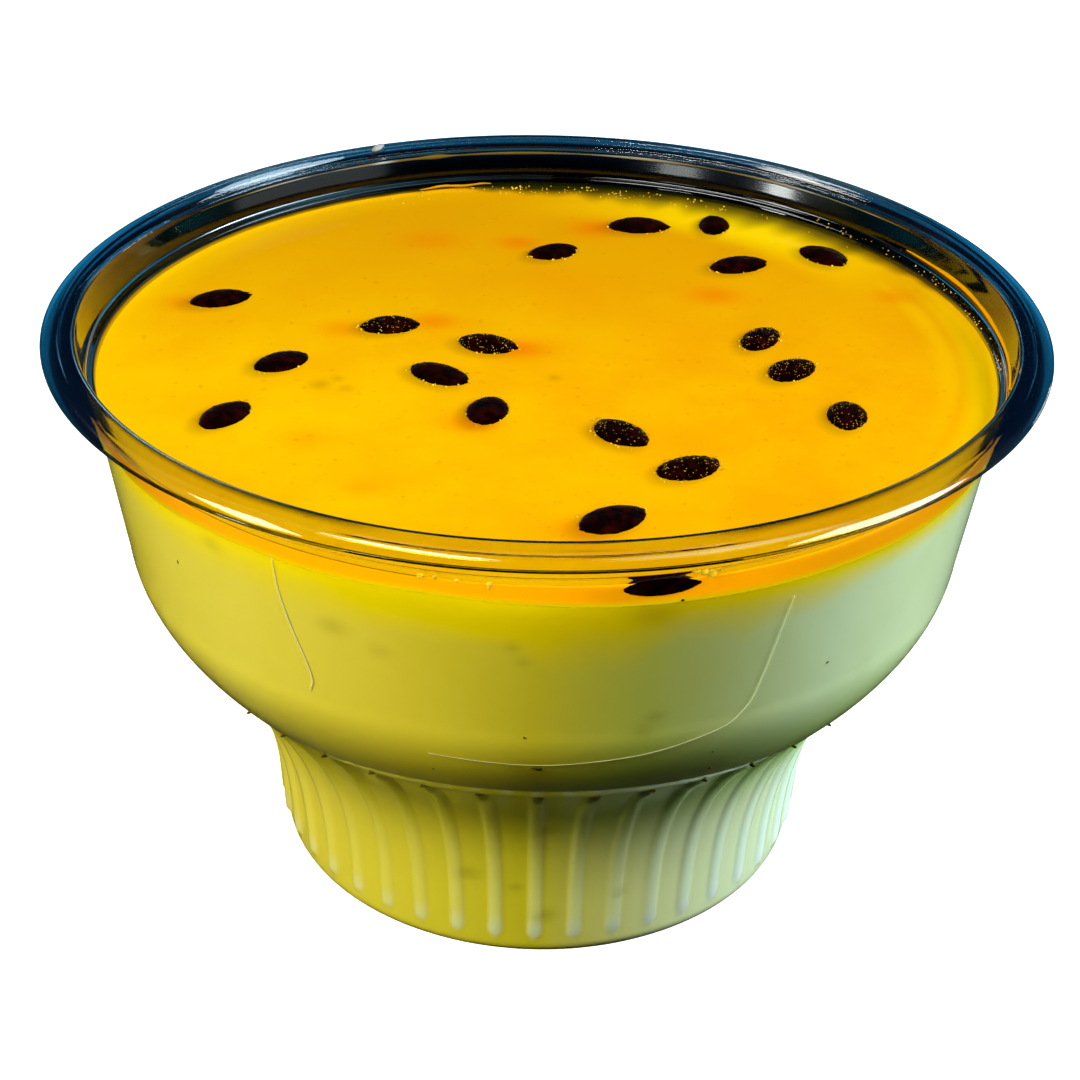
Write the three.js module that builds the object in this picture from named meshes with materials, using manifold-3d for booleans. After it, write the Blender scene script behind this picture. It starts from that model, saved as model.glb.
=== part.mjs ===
// A passion fruit mousse in its clear footed dessert cup, under a thin layer of passion fruit gel with seeds.
// Millimetres, +Z up. The origin is the centre of the foot's underside, and -Y is the front.
import * as THREE from "three";
import { mergeVertices } from "three/addons/utils/BufferGeometryUtils.js";
import Module from "manifold-3d";

// Heights above the table
const RIM_TOP_Z = 58.9;
const RIM_EDGE_Z = 58.4; // outermost edge of the rim
const FLANGE_UNDER_Z = 57.7; // underside of the rim's flange
const STEP_Z = 55.2; // small step in the wall, where stacked cups sit on each other
const GEL_TOP_Z = 53.9;
const GEL_BOTTOM_Z = 52.2;
const BOWL_BEND_Z = 37.4; // the bowl's straight wall starts to turn inward here
const BOWL_CORNER_Z = 32.6; // where the tangents of that turn meet
const BOWL_FOOT_Z = 27.1; // lower edge of the bowl
const LEDGE_Z = 26.4; // narrow ledge between the bowl and the foot
const RIB_END_Z = 2.0; // lower ends of the foot's ribs

// Outside radii
const RIM_RADIUS = 49;
const BEAD_CREST_RADIUS = 48.1; // top of the rim's rounded bead
const RIM_CREASE_RADIUS = 47.2; // shallow groove between the bead and the rim's flat inner part
const UPPER_WALL_RADIUS = 45.8; // wall between the step and the flange
const RIM_INNER_RADIUS = 45.7;
const WALL_TOP_RADIUS = 44.9; // wall just under the step
const BOWL_BEND_RADIUS = 42.3;
const BOWL_CORNER_RADIUS = 42.0;
const BOWL_FOOT_RADIUS = 37.3;
const LEDGE_RADIUS = 36.9; // outer edge of the ledge
const NECK_RADIUS = 36.1; // foot between its ribs, at the ledge
const FOOT_RADIUS = 27.6;

// Walls, rounds and fits
const WALL = 0.7;
const FLOOR = 1.0; // thickness of the foot's floor
const STEP_RISE = 0.4;
const RIM_ROUND = 0.5;
const CREASE_DEPTH = 0.25;
const FOOT_ROUND = 1.0;
const FIT_GAP = 0.3; // clearance between the food and the cup
const LAYER_GAP = 0.1; // clearance between the gel and the mousse

// The foot widens by FOOT_DRAFT times its height, plus a power of the height above FLARE_START_Z
const FOOT_DRAFT = 0.05;
const FLARE_START_Z = 5;
const FLARE_POWER = 2.6;

// Ribs on the foot
const RIB_COUNT = 44;
const RIB_WIDTH = 1.6;
const RIB_HEIGHT = 0.5;
const RIB_ROOT = 0.35; // depth that a rib reaches into the wall

// Edge of the gel, where it climbs the wall
const MENISCUS_RISE = 0.4;
const MENISCUS_WIDTH = 1.6;

// Seeds
const SEED_LENGTH = 5.8;
const SEED_WIDTH = 3.8;
const SEED_THICKNESS = 1.8;
const SEED_FULLNESS = 0.8; // below 1 the seed's ends are blunter
const SEED_PROUD = 0.6; // how far a seed's top stands above the gel

// Facets
const CUP_SEGMENTS = 64;
const FOOD_SEGMENTS = 48;
const SEED_SEGMENTS = 6;
const SEED_STEPS = 4;
const FOOT_STEPS = 6;
const BEND_STEPS = 4;
const ROUND_STEPS = 2;
const MENISCUS_STEPS = 2;
const WELD = 1e-4;

// Where the seeds lie: across, away from the front, and the turn of the long axis in degrees
const SEEDS = [
  { x: 18.5, y: 33.5, turn: 85 },
  { x: 10.0, y: 33.0, turn: 0 },
  { x: 30.0, y: 25.5, turn: -50 },
  { x: 0.5, y: 25.0, turn: 30 },
  { x: 20.5, y: 22.5, turn: 25 },
  { x: -34.0, y: 11.0, turn: 25 },
  { x: -16.0, y: 5.5, turn: 10 },
  { x: 21.5, y: 4.0, turn: 65 },
  { x: -6.0, y: 1.5, turn: -20 },
  { x: 24.0, y: -3.0, turn: 50 },
  { x: -26.0, y: -3.5, turn: 40 },
  { x: -10.5, y: -5.5, turn: -35 },
  { x: 28.5, y: -12.5, turn: 85 },
  { x: -5.5, y: -13.0, turn: 80 },
  { x: -30.0, y: -15.0, turn: 60 },
  { x: 7.0, y: -17.0, turn: -50 },
  { x: 13.0, y: -23.5, turn: 30 },
  { x: 6.0, y: -33.0, turn: 35 },
];

const wasm = await Module();
wasm.setup();

function toSolid(geometry) {
  geometry.deleteAttribute("normal");
  geometry.deleteAttribute("uv");
  const merged = mergeVertices(geometry, WELD);
  const corners = merged.getIndex().array;
  const triVerts = [];
  for (let i = 0; i < corners.length; i += 3) {
    const [a, b, c] = corners.slice(i, i + 3);
    // A turned profile leaves triangles without area on its axis
    const flat = a === b || b === c || c === a;
    if (!flat) triVerts.push(a, b, c);
  }
  return new wasm.Manifold(
    new wasm.Mesh({
      numProp: 3,
      vertProperties: Float32Array.from(merged.getAttribute("position").array),
      triVerts: Uint32Array.from(triVerts),
    }),
  );
}

function toGeometry(solid) {
  const { vertProperties, triVerts } = solid.getMesh();
  const geometry = new THREE.BufferGeometry();
  geometry.setAttribute("position", new THREE.BufferAttribute(vertProperties, 3));
  geometry.setIndex(new THREE.BufferAttribute(triVerts, 1));
  geometry.computeVertexNormals();
  return geometry;
}

const at = (radius, z) => new THREE.Vector2(radius, z);

// A profile of (radius, height) points turned about +Z
function turned(profile, segments) {
  return new THREE.LatheGeometry(profile, segments).rotateX(Math.PI / 2);
}

// A line that runs upward, moved outward by a distance at right angles to itself
function offsetLine(line, outward) {
  return line.map((point, i) => {
    const before = line[Math.max(i - 1, 0)];
    const after = line[Math.min(i + 1, line.length - 1)];
    const along = after.clone().sub(before).normalize();
    return at(point.x + along.y * outward, point.y - along.x * outward);
  });
}

// A line's radius at a height between its ends
function radiusAt(line, z) {
  const upper = line.findIndex((point) => point.y >= z);
  const low = line[upper - 1];
  const high = line[upper];
  return low.x + ((high.x - low.x) * (z - low.y)) / (high.y - low.y);
}

// The foot's outside between its ribs
const flareRise = NECK_RADIUS - FOOT_RADIUS - FOOT_DRAFT * LEDGE_Z;

function footRadius(z) {
  const climb = Math.max(0, (z - FLARE_START_Z) / (LEDGE_Z - FLARE_START_Z));
  return FOOT_RADIUS + FOOT_DRAFT * z + flareRise * climb ** FLARE_POWER;
}

function footLine(lowest) {
  const points = [];
  for (let i = 0; i <= FOOT_STEPS; i++) {
    const z = lowest + ((LEDGE_Z - lowest) * i) / FOOT_STEPS;
    points.push(at(footRadius(z), z));
  }
  return points;
}

// The bowl's outside, from its lower edge to the step
function bowlLine() {
  const bend = new THREE.QuadraticBezierCurve(
    at(BOWL_FOOT_RADIUS, BOWL_FOOT_Z),
    at(BOWL_CORNER_RADIUS, BOWL_CORNER_Z),
    at(BOWL_BEND_RADIUS, BOWL_BEND_Z),
  );
  return [...bend.getPoints(BEND_STEPS), at(WALL_TOP_RADIUS, STEP_Z)];
}

// The inside of the wall, or the side of the food when a gap is left to it
function insideLine(gap) {
  return offsetLine([...footLine(0), ...bowlLine()], -WALL - gap);
}

// The rounded edge of the foot's underside
function footRound() {
  const points = [];
  for (let i = 0; i <= ROUND_STEPS; i++) {
    const angle = (Math.PI / 2) * (i / ROUND_STEPS);
    const z = FOOT_ROUND * (1 - Math.cos(angle));
    points.push(at(FOOT_RADIUS - FOOT_ROUND * (1 - Math.sin(angle)), z));
  }
  return points;
}

function cupProfile() {
  const rim = [
    at(UPPER_WALL_RADIUS, STEP_Z + STEP_RISE),
    at(UPPER_WALL_RADIUS, FLANGE_UNDER_Z),
    at(RIM_RADIUS - RIM_ROUND, FLANGE_UNDER_Z),
    at(RIM_RADIUS, RIM_EDGE_Z),
    at(BEAD_CREST_RADIUS, RIM_TOP_Z),
    at(RIM_CREASE_RADIUS, RIM_TOP_Z - CREASE_DEPTH),
    at(RIM_INNER_RADIUS + RIM_ROUND, RIM_TOP_Z),
    at(RIM_INNER_RADIUS, RIM_EDGE_Z),
    at(UPPER_WALL_RADIUS - WALL, STEP_Z + STEP_RISE),
  ];
  const inside = insideLine(0);
  const aboveFloor = inside.filter((point) => point.y > FLOOR);
  return [
    at(0, 0),
    ...footRound(),
    ...footLine(RIB_END_Z),
    at(LEDGE_RADIUS, LEDGE_Z),
    ...bowlLine(),
    ...rim,
    ...aboveFloor.reverse(),
    at(radiusAt(inside, FLOOR), FLOOR),
    at(0, FLOOR),
  ];
}

// One raised rib that runs up the foot, above the +X axis
function ribGeometry() {
  const spine = footLine(RIB_END_Z);
  const crest = offsetLine(spine, RIB_HEIGHT);
  crest[0].y += RIB_HEIGHT;
  const root = offsetLine(spine, -RIB_ROOT);
  const side = new THREE.Shape([...crest, ...root.reverse()]);
  const bar = new THREE.ExtrudeGeometry(side, { depth: RIB_WIDTH, bevelEnabled: false });
  return bar.translate(0, 0, -RIB_WIDTH / 2).rotateX(Math.PI / 2);
}

function cupGeometry() {
  let cup = toSolid(turned(cupProfile(), CUP_SEGMENTS));
  for (let i = 0; i < RIB_COUNT; i++) {
    const turn = (2 * Math.PI * i) / RIB_COUNT - Math.PI / 2;
    cup = cup.add(toSolid(ribGeometry().rotateZ(turn)));
  }
  return toGeometry(cup);
}

// The mousse fills the foot and the bowl up to the gel
function mousseGeometry() {
  const top = GEL_BOTTOM_Z - LAYER_GAP;
  const bottom = FLOOR + FIT_GAP;
  const line = insideLine(FIT_GAP);
  const profile = [
    at(0, bottom),
    at(radiusAt(line, bottom), bottom),
    ...line.filter((point) => point.y > bottom && point.y < top),
    at(radiusAt(line, top), top),
    at(0, top),
  ];
  return toGeometry(toSolid(turned(profile, FOOD_SEGMENTS)));
}

// One flattened seed, pointed at both ends, with its long axis along +X
function seedGeometry() {
  const profile = [at(0, -SEED_LENGTH / 2)];
  for (let i = 1; i < SEED_STEPS; i++) {
    const share = i / SEED_STEPS;
    const girth = Math.sin(Math.PI * share) ** SEED_FULLNESS;
    profile.push(at((girth * SEED_WIDTH) / 2, (share - 0.5) * SEED_LENGTH));
  }
  profile.push(at(0, SEED_LENGTH / 2));
  const seed = turned(profile, SEED_SEGMENTS).rotateY(Math.PI / 2);
  return seed.scale(1, 1, SEED_THICKNESS / SEED_WIDTH);
}

// The gel layer climbs the wall at its edge, and the seeds are partly sunk in its top
function gelGeometry() {
  const line = insideLine(FIT_GAP);
  const edgeRadius = radiusAt(line, GEL_TOP_Z + MENISCUS_RISE);
  const meniscus = [];
  for (let i = 0; i <= MENISCUS_STEPS; i++) {
    const share = i / MENISCUS_STEPS;
    const z = GEL_TOP_Z + MENISCUS_RISE * (1 - share) ** 2;
    meniscus.push(at(edgeRadius - MENISCUS_WIDTH * share, z));
  }
  const profile = [
    at(0, GEL_BOTTOM_Z),
    at(radiusAt(line, GEL_BOTTOM_Z), GEL_BOTTOM_Z),
    ...meniscus,
    at(0, GEL_TOP_Z),
  ];
  let gel = toSolid(turned(profile, FOOD_SEGMENTS));
  const seedZ = GEL_TOP_Z + SEED_PROUD - SEED_THICKNESS / 2;
  for (const { x, y, turn } of SEEDS) {
    const seed = seedGeometry().rotateZ(THREE.MathUtils.degToRad(turn));
    gel = gel.add(toSolid(seed.translate(x, y, seedZ)));
  }
  return toGeometry(gel);
}

function piece(name, geometry, finish) {
  const mesh = new THREE.Mesh(geometry, new THREE.MeshStandardMaterial(finish));
  mesh.name = name;
  return mesh;
}

const clearPlastic = { color: 0xdfe8ea, roughness: 0.08, metalness: 0, transparent: true, opacity: 0.3 };
const paleMousse = { color: 0xdcd98a, roughness: 0.5, metalness: 0 };
const orangeGel = { color: 0xf7b408, roughness: 0.25, metalness: 0 };

const dessert = new THREE.Group();
dessert.add(piece("cup", cupGeometry(), clearPlastic));
dessert.add(piece("mousse", mousseGeometry(), paleMousse));
dessert.add(piece("passion_gel", gelGeometry(), orangeGel));

export default dessert;
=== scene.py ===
# A passion fruit mousse in its clear footed dessert cup, with a thin layer of gel and seeds on top.
# Meshes are worked out in millimetres and stored in metres. The origin is the centre of the foot's
# underside, +Z is up and -Y is the front. Angles count from the front and grow to the right.
import math

import bpy
import numpy as np
from mathutils import Matrix, Vector, noise


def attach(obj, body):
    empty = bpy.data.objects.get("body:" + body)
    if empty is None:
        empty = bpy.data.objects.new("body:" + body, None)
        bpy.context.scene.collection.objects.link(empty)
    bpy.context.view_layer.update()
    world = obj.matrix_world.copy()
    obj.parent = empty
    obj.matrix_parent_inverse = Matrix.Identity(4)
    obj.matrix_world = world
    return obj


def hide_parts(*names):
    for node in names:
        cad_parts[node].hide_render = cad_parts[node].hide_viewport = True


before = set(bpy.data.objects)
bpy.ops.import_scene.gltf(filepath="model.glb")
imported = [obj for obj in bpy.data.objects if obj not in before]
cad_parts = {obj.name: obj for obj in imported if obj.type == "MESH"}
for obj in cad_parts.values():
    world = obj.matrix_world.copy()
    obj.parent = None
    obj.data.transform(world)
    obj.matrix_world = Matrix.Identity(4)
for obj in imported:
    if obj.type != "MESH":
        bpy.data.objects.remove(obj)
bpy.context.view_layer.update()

MM = 0.001
BODY = "root"

# Heights above the table
RIM_TOP_Z = 58.9
RIM_EDGE_Z = 58.4
LIP_Z = 58.0
STEP_Z = 55.2
STEP_RISE = 0.4
TREAD_Z = 54.95  # middle of the step inside the wall
UPPER_WALL_Z = 55.85  # where the wall above the step starts
GEL_TOP_Z = 53.9
GEL_BOTTOM_Z = 52.2
MOUSSE_TOP_Z = 53.0  # the mousse reaches a little way into the gel
BOWL_BEND_Z = 37.4
BOWL_CORNER_Z = 32.6
BOWL_FOOT_Z = 27.1
LEDGE_Z = 26.4
RIB_END_Z = 2.0

# Outside radii
RIM_RADIUS = 49.0
BEAD_CREST_RADIUS = 47.6
RIM_CREASE_RADIUS = 47.2
UPPER_WALL_RADIUS = 45.8
RIM_INNER_RADIUS = 45.7
WALL_TOP_RADIUS = 44.9
BOWL_BEND_RADIUS = 42.3
BOWL_CORNER_RADIUS = 42.0
BOWL_FOOT_RADIUS = 37.3
LEDGE_RADIUS = 36.9
NECK_RADIUS = 36.1
FOOT_RADIUS = 27.6
POLE_RADIUS = 4.0  # innermost ring of a closed piece

# Walls and rounds
WALL = 0.7
FLOOR = 1.0
RIM_ROUND = 0.5
CREASE_DEPTH = 0.07
CREASE_HALF_WIDTH = 0.28
PINCH = 0.8  # how much further in the inner edge is at the front than at the sides
SAG = 0.85  # how much lower the inner edge is at the back
FOOT_ROUND = 1.0
SHEET = 0.35  # thickness of the flange and bead, formed from thin sheet
SKIN = 0.15  # clear wall outside the food, which reaches into it so that no air gap shows

# The foot widens evenly, and by a power of the height above FLARE_START_Z
FOOT_DRAFT = 0.05
FLARE_START_Z = 5.0
FLARE_POWER = 2.6

# Ribs on the foot
RIB_COUNT = 44
RIB_WIDTH = 1.6
RIB_HEIGHT = 0.5
RIB_EDGE = 0.45  # width of a rib's rounded shoulder
RIB_FILL = 0.25  # share of a rib's height that the mousse fills
COLUMNS_PER_RIB = 13

# Steps along the foot, the bowl's bend and its wall, for the food
FINE_STEPS = (36, 18, 32)
GEL_STEPS = (24, 12, 30)
GEL_SKIN = SKIN - 0.02  # the gel lies just outside the mousse
GEL_COLUMNS = 600
GEL_UNDER_RADII = [6.0, 24.0, 40.0]  # rings under the gel

# Edge of the gel
MENISCUS_RISE = 0.4
MENISCUS_WIDTH = 1.6
BAND_BACK_Z = 52.0  # lower edge of the gel at the wall, away from the front

# Edge of the gel where it climbs highest, at the right
CLIMB_DEG = 83.0
CLIMB_SPREAD_DEG = 20.0
CLIMB_RISE = 0.75

# Seeds: place across and away from the front, turn in degrees, length and width
SEED_THICKNESS = 1.8
SEED_PROUD = 0.65  # above the gel
SEED_SPREAD = 1.06  # what the gel's own swell at a seed adds to its outline
SEEDS = [
    (18.5, 33.5, 85, 5.5, 3.4), (10, 33, 0, 6.8, 4.4), (30, 25.5, -50, 6.2, 4.2),
    (0.5, 25, 30, 5.7, 3.8), (20.5, 22.5, 25, 6.6, 4.2), (-34, 11, 25, 6.4, 4),
    (-16, 5.5, 10, 5.9, 4), (21.5, 4, 65, 5.9, 3.5), (-6, 1.5, -20, 6, 4.1),
    (24, -3, 50, 6, 4), (-26, -3.5, 40, 5.8, 3.9), (-10.5, -5.5, -35, 6.4, 4),
    (28.5, -12.5, 85, 6, 3.8), (-5.5, -13, 80, 5.8, 3.9), (-30, -15, 60, 6.3, 3.9),
    (7, -17, -50, 6.4, 4.1), (13, -23.5, 30, 6.2, 4.1), (6, -33, 35, 6.6, 4.3),
]
SPECKLED_SEEDS = [6, 7, 8, 9, 12, 15, 16]  # seeds with drops of gel on them
SUNK_SEED_DEG = 12.8  # a seed pressed against the wall, below the gel's top
SUNK_SEED_Z = 53.7
SUNK_SEED_LENGTH = 6.4
SUNK_SEED_WIDTH = 3.6

# Redder pulp in the gel: across, away from the front, spread and strength
PULP = [
    (-3.5, 27.5, 2.2, 0.55), (-13, 27.5, 3.5, 0.32), (5.2, 32, 2.8, 0.6),
    (17.5, 14.5, 2.6, 0.5), (36.5, 15, 2.2, 0.4), (-2.6, 0.6, 2.8, 0.65),
    (-11.6, 6.6, 2.6, 0.55), (-20.5, 4.5, 2.8, 0.4), (-6.8, -15.5, 2.4, 0.65),
    (3.4, -35.2, 2.8, 0.5), (-37.5, 10, 2.4, 0.4), (-15.5, -28, 2.4, 0.22),
    (-22, -19, 3, 0.2), (14, 2, 6, 0.12), (2, 16, 7, 0.1),
]

# Faint smudges in the gel: across, away from the front, spread and strength
SMUDGES = [
    (-21.7, -8.3, 1.1, 0.34), (-20.2, -7, 0.7, 0.3), (-19.2, -9, 0.8, 0.26),
    (0.8, -5.7, 0.7, 0.25), (-17, -28.7, 1.6, 0.1), (28, -22, 0.9, 0.1),
]

# Lower edge of the gel at the front wall: angle in degrees and height
BAND_EDGE = [
    (-70, 51.8), (-50, 51.9), (-42, 52.3), (-33, 52.4), (-27, 52.3),
    (-13, 52.5), (0, 52.1), (7, 51.9), (17, 51.8), (25, 51.7),
    (36, 51.6), (46, 51.4), (60, 51.2), (75, 51.2), (100, 52),
]

# Painted shade and painted dark reflection at the gel's edge by the wall: angle in degrees, and how far
# in it starts and stops fading
EDGE_SHADE_WIDTHS = [
    (-180, 1, 4.2), (-165, 0.2, 0.9), (-150, 0.1, 0.6), (-135, 0, 0.5), (-120, 0, 0.25),
    (-45, 0, 0.2), (0, 0, 0), (90, 0, 0), (104, 0, 0.4),
    (116, 0, 1.4), (132, -0.4, 5), (150, -0.5, 6.5), (162, 0, 6), (180, 1, 4.2),
]

# Films of gel on the wall: start and end in degrees, height and half height
FILMS = [
    (77, 121, 55.85, 0.24),
    (189, 200, 54.36, 0.16),
]
FILM_THICKNESS = 0.12

# Smear along the back of the rim's inner edge, partly gel and partly a painted highlight of the edge
SMEAR_FROM_DEG = 122.0
SMEAR_TO_DEG = 236.0
SMEAR_RADIUS = 45.74
SMEAR_Z = 58.3
SMEAR_HALF_HEIGHT = 0.13
SMEAR_DROP_DEG = 197.0

# The mould's mark on the rim; its half sizes are its width, height and depth
RIM_MARK_DEG = -155.0
RIM_MARK_RADIUS = 47.1
RIM_MARK_Z = 58.85
RIM_MARK_HALF_SIZES = (0.45, 0.28, 1.3)

# Painted highlights on the smear and the mark: angle in degrees, spread and strength
PAINTED_HIGHLIGHT_SPOTS = [
    (138, 9, 0.9), (167, 7, 0.5), (205, 1.5, 1), (218, 9, 0.6),
]

# Gel soaked into the mousse: angle in degrees, and how far below the gel it starts and stops fading
STAIN_DEPTHS = [
    (-180, 0.2, 3), (-60, 0.2, 3), (-50, 0.3, 3.8), (-37, 0.1, 4.5), (-27, 0.4, 5.2),
    (-13, 2.8, 5), (-6, 3.3, 4.8), (0, 3.8, 7.2), (7, 2.3, 7.6), (16, 0.7, 4.2),
    (24, 0.6, 6), (36, 0.3, 3.6), (46, 0.3, 2.6), (60, 0.2, 2.4), (180, 0.2, 3),
]
# The mousse's glow is painted: emission that stands in for light from the gel
GLOW_DEPTH = 1.6  # how far light from the gel reaches into the mousse

# Darker patches in the mousse, one of them a painted shadow under the sunk seed: angle in degrees,
# height, spread and strength
PATCHES = [
    (-24.2, 46.7, 0.9, 0.3), (-40.7, 51, 0.8, 0.25), (-18.4, 45.2, 0.7, 0.2),
    (-3.1, 47.5, 0.5, 0.3), (-2, 45.9, 0.45, 0.25), (13.7, 39, 0.6, 0.35),
    # The first patch on the next line, at 12.5 degrees, is the painted shadow under the sunk seed
    (12.5, 51, 1.5, 0.4), (-0.2, 32.4, 1.3, 0.45), (23, 30.3, 1.5, 0.35),
    (12.4, 37.4, 0.8, 0.25), (1.7, 17.9, 0.8, 0.45), (1.9, 5.1, 0.8, 0.4),
    (-13.7, 10, 0.8, 0.4), (-4.1, 8.7, 0.5, 0.35), (17.3, 7.6, 0.5, 0.35),
]

# Dark specks on the mousse: angle in degrees, height, half width and half height
SPECKS = [
    (36.9, 40.4, 0.12, 0.12), (-0.2, 33.2, 0.5, 0.2), (23, 30.1, 0.4, 0.2), (15.3, 52, 0.2, 0.15),
    (-49, 46, 0.12, 0.25), (-13.4, 31.5, 0.12, 0.1), (-1.7, 37.2, 0.12, 0.1), (22.2, 33.2, 0.14, 0.1),
]
SPECK_DEPTH = 0.12
# Dark marks of painted shade in the small hollows over the ribs
MARK_RADIUS = 36.75  # small hollows over the ribs, in the ledge
MARK_Z = 26.55
MARK_HALF_WIDTH = 0.55
MARK_HALF_HEIGHT = 0.16
MARK_DEPTH = 0.15

# Painted reflections of a bright edge, drawn as fine pale lines on the outside of the bowl: angle in
# degrees and height
WALL_REFLECTIONS = [
    [(-31.1, 52.7), (-31, 48.9), (-30, 45.4), (-28.3, 41.3), (-27.9, 39.6), (-28.6, 38.3)],
    [(-14.6, 34.1), (0.2, 33.6), (13.6, 34.6), (23.5, 36.6), (26.1, 38.9), (27.5, 43.2), (29.4, 50.6)],
]
REFLECTION_HALF_WIDTHS = [0.085, 0.045]

# Bubbles against the front wall: angle in degrees, height and radius
WALL_BUBBLES = [
    (-13, 54.3, 0.32), (-11.4, 54.4, 0.22), (-9.1, 54.3, 0.2),
    (-5.5, 54.2, 0.3), (-5.6, 53.8, 0.16), (17.4, 54.8, 0.4),
    (18.3, 54.5, 0.45), (19, 54.9, 0.3), (16.6, 55, 0.3),
]
WALL_BUBBLE_DEPTH = 0.1
FROTH_COUNT = 150  # along the gel's edge at the back
STEP_DROP_COUNT = 80  # on the step at the right
SEED_DROP_COUNT = 90  # on each speckled seed

# Lamps seen only as highlights on the cup: name, place and size in metres, power and colour.
# Each window is a narrow lamp within a wider one, so that its edges look soft.
HIGHLIGHTS = [
    ("blue_back", (0, 0.62, 0.285), (0.3, 0.09), 0.055, (0.1, 0.57, 1)),
    ("window_white", (-0.49, -0.235, 0.195), (0.03, 0.08), 0.15, (0.95, 1, 0.98)),
    ("window_grey", (-0.307, -0.433, 0.228), (0.05, 0.08), 0.072, (0.95, 1, 0.98)),
    ("window_white", (-0.49, -0.235, 0.195), (0.07, 0.08), 0.35, (0.95, 1, 0.98)),
    ("window_grey", (-0.307, -0.433, 0.228), (0.09, 0.08), 0.168, (0.95, 1, 0.98)),
    ("panel_right", (0.5, -0.2, 0.185), (0.44, 0.14), 0.16, (0.9, 1, 1)),
    ("sky_left", (-0.11, 0.585, 0.275), (0.075, 0.06), 0.05, (0.3, 0.67, 1)),
    ("streak_left", (-0.33, 0.07, 0.55), (0.27, 0.1), 1.1, (1, 1, 0.92)),
    ("streak_right", (0.41, 0.057, 0.49), (0.26, 0.26), 2.7, (0.66, 0.86, 1)),
    ("edge_left", (0.15, 0.25, 0.6), (0.16, 0.2), 0.3, (0.26, 0.72, 1)),
    ("edge_right", (-0.1, 0.19, 0.59), (0.06, 0.2), 0.6, (0.95, 1, 1)),
    ("lip_right", (0.495, 0.375, 0.08), (0.14, 0.05), 0.2, (0.92, 0.97, 1)),
]
LAMP_AIM = (0, 0, 0.04)
RIM_AIM = (0, 0, 0.058)
GEL_AIM = (0, 0, 0.053)

# Floor, just under the foot
FLOOR_Z = -0.05
FLOOR_REACH = 4000.0

# Camera, set by the rim and the foot in the photograph
IMAGE_PX = 1080
FOCAL_PX = 2200
SENSOR_MM = 36.0
CAMERA_DISTANCE = 217.531  # from the rim's centre
CAMERA_ELEVATION = 0.430929533
CAMERA_PAN = -0.00131134
CAMERA_TILT = -0.104290
CAMERA_ROLL = 0.0204593


# Lines of a section, as rows of (radius, height)

def straight(start, end, steps):
    share = np.linspace(0, 1, steps + 1)[:, None]
    return np.array(start) * (1 - share) + np.array(end) * share


def bent(start, corner, end, steps):
    """A curve from start to end that bends towards the corner."""
    share = np.linspace(0, 1, steps + 1)[:, None]
    first = np.array(start) * (1 - share) ** 2
    middle = np.array(corner) * 2 * share * (1 - share)
    return first + middle + np.array(end) * share ** 2


def joined(*runs):
    """Runs of points end to end, without repeated points."""
    points = np.vstack(runs)
    moved = np.linalg.norm(np.diff(points, axis=0), axis=1) > 1e-6
    return points[np.concatenate([[True], moved])]


def outward(section):
    """Unit normals of a section that runs up on the outside."""
    along = np.gradient(section, axis=0)
    along /= np.linalg.norm(along, axis=1)[:, None]
    return np.stack([along[:, 1], -along[:, 0]], axis=1)


def foot_line(lowest, steps):
    z = np.linspace(lowest, LEDGE_Z, steps + 1)
    flare = NECK_RADIUS - FOOT_RADIUS - FOOT_DRAFT * LEDGE_Z
    climb = np.clip((z - FLARE_START_Z) / (LEDGE_Z - FLARE_START_Z), 0, None)
    return np.stack([FOOT_RADIUS + FOOT_DRAFT * z + flare * climb ** FLARE_POWER, z], axis=1)


def bowl_line(bend_steps, wall_steps):
    corner = (BOWL_CORNER_RADIUS, BOWL_CORNER_Z)
    bend_end = (BOWL_BEND_RADIUS, BOWL_BEND_Z)
    bend = bent((BOWL_FOOT_RADIUS, BOWL_FOOT_Z), corner, bend_end, bend_steps)
    wall = straight(bend_end, (WALL_TOP_RADIUS, STEP_Z), wall_steps)
    return joined(bend, wall)


def inside_line(inward, foot_steps, bend_steps, wall_steps):
    """The foot and bowl's outside, moved inward at right angles to itself."""
    outside = joined(foot_line(0, foot_steps), bowl_line(bend_steps, wall_steps))
    return outside - outward(outside) * inward


def radius_at(section, z):
    return np.interp(z, section[:, 1], section[:, 0])


# Meshes

def azimuths(columns):
    """Even angles round one turn."""
    return np.linspace(0, 2 * np.pi, columns, endpoint=False)


def signed_degrees(azimuth):
    """Degrees from the front, below zero at the left."""
    return (np.degrees(azimuth) + 180) % 360 - 180


def turned(radius, z, azimuth):
    """Points at a radius, height and angle; each row is one ring."""
    x = radius * np.sin(azimuth)
    y = -radius * np.cos(azimuth)
    return np.stack(np.broadcast_arrays(x, y, z), axis=-1)


def closed_body(points, first_pole, last_pole, offset=0):
    """Vertices and faces of rings that close in a pole at each end."""
    rows, columns = points.shape[:2]
    start = offset + rows * columns
    end = start + 1
    index = np.arange(offset, start).reshape(rows, columns)
    right = np.roll(index, -1, axis=1)
    quads = np.stack([index[:-1], right[:-1], right[1:], index[1:]], axis=-1)
    faces = quads.reshape(-1, 4).tolist()
    faces += [[start, b, a] for a, b in zip(index[0].tolist(), right[0].tolist())]
    faces += [[end, a, b] for a, b in zip(index[-1].tolist(), right[-1].tolist())]
    return np.vstack([points.reshape(-1, 3), first_pole, last_pole]), faces


def mesh_piece(name, vertices, faces, material):
    mesh = bpy.data.meshes.new(name)
    mesh.from_pydata((np.asarray(vertices) * MM).tolist(), [], faces)
    mesh.shade_smooth()
    mesh.materials.append(material)
    piece = bpy.data.objects.new(name, mesh)
    bpy.context.scene.collection.objects.link(piece)
    return piece


def paint(piece, name, values):
    layer = piece.data.attributes.new(name, "FLOAT", "POINT")
    layer.data.foreach_set("value", np.asarray(values, np.float32))


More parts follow.
